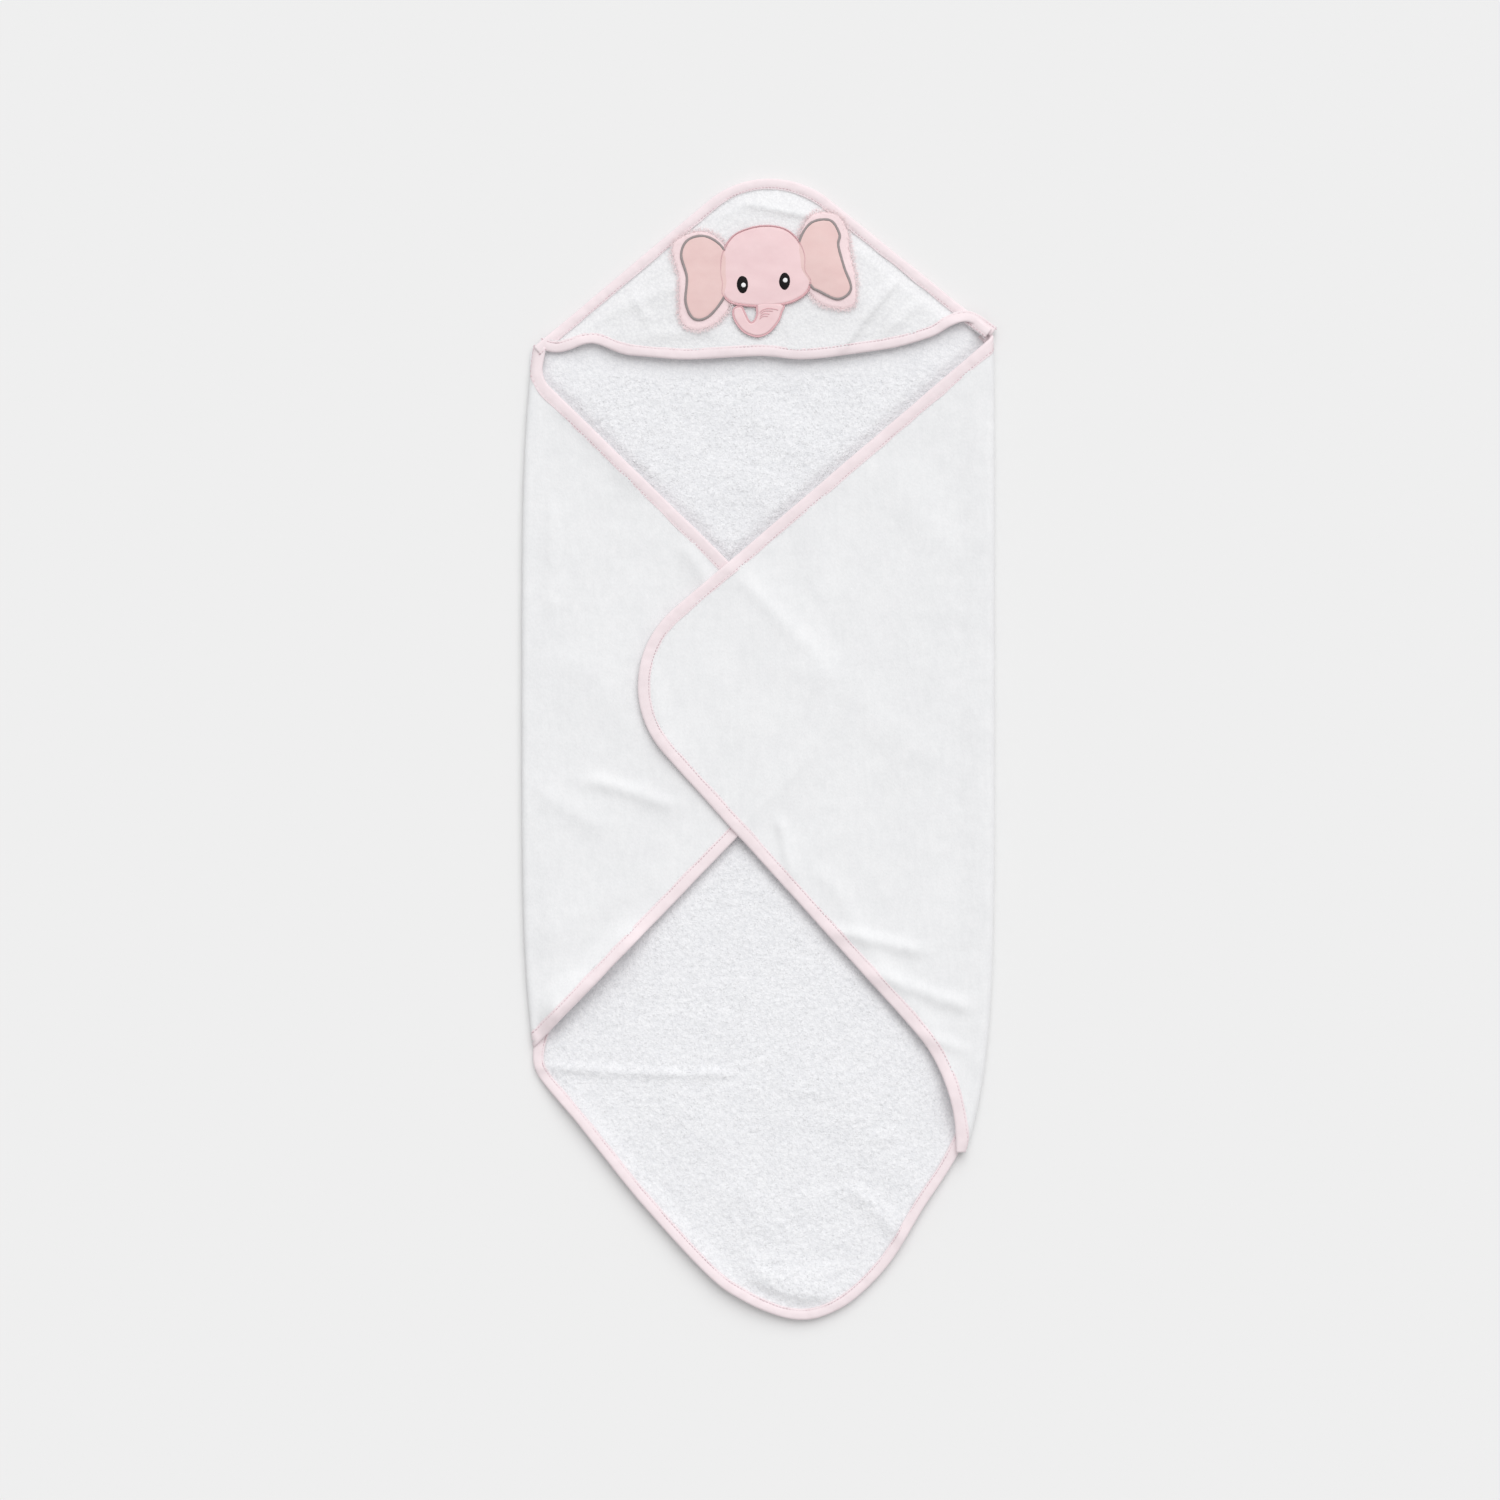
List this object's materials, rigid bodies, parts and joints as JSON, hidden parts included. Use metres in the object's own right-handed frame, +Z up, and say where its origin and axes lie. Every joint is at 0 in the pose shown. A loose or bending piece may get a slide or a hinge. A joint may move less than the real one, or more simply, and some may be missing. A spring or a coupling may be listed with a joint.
{
  "type": "hooded baby towel",
  "caption": "Square terry baby towel lying folded on its diagonal, with a bound edge, two wings folded across and a corner hood that carries an animal's face.",
  "frame": {"origin": "middle of the folded towel's outline, on the surface that it lies on", "axes": "+Y from the bottom corner to the hood, +X to the right wing's fold, +Z up"},
  "size_m": [0.414, 0.9979, 0.0174],
  "materials": {
    "terry_inner": "deep loop pile",
    "terry_outer": "sheared, flatter pile",
    "hood_terry": "sheared, flatter pile",
    "binding_tape": "plain knit tape, matt",
    "seam_thread": "spun thread, matt",
    "ear_plush": "short plush",
    "ear_cloth": "brushed cloth",
    "grey_embroidery": "satin stitch",
    "face_cloth": "smooth satin-faced cloth",
    "pink_embroidery": "satin stitch",
    "black_embroidery": "satin stitch",
    "white_embroidery": "satin stitch"
  },
  "bodies": {
    "towel_back": {"back_panel": "terry_inner", "bottom_binding": "binding_tape", "bottom_stitching": "seam_thread"},
    "left_wing": {"left_wing_panel": "terry_outer", "left_wing_binding": "binding_tape", "left_wing_stitching": "seam_thread"},
    "right_wing": {"right_wing_panel": "terry_outer", "right_wing_binding": "binding_tape", "right_wing_stitching": "seam_thread"},
    "hood": {"corner_panel": "terry_inner", "hood_panel": "hood_terry", "hood_edge_binding": "binding_tape", "hood_edge_stitching": "seam_thread", "hood_hem_binding": "binding_tape", "hood_hem_stitching": "seam_thread", "head_panel": "face_cloth", "head_outline": "pink_embroidery", "trunk_panel": "face_cloth", "trunk_crease_upper": "pink_embroidery", "trunk_crease_lower": "pink_embroidery", "left_ear_backing": "ear_plush", "left_ear_face": "ear_cloth", "left_ear_outline": "grey_embroidery", "left_eye": "black_embroidery", "left_eye_glint": "white_embroidery", "right_ear_backing": "ear_plush", "right_ear_face": "ear_cloth", "right_ear_outline": "grey_embroidery", "right_eye": "black_embroidery", "right_eye_glint": "white_embroidery"}
  },
  "joints": [
    {"name": "right_wing_unfold", "type": "hinge", "parent": "towel_back", "child": "right_wing", "pos_m": [0.207, 0, 0.0063], "axis": [0, 1, 0], "range_deg": [0, 179.5]},
    {"name": "left_wing_unfold", "type": "hinge", "parent": "towel_back", "child": "left_wing", "pos_m": [-0.207, 0, 0.00415], "axis": [0, -1, 0], "range_deg": [0, 85]},
    {"name": "hood_fold", "type": "hinge", "parent": "towel_back", "child": "hood", "pos_m": [0, 0.33633, 0.0129], "axis": [1, 0, 0], "range_deg": [0, 120]}
  ],
  "couplings": [
    {"joint": "left_wing_unfold", "follows": "right_wing_unfold", "ratio": 0.47}
  ]
}
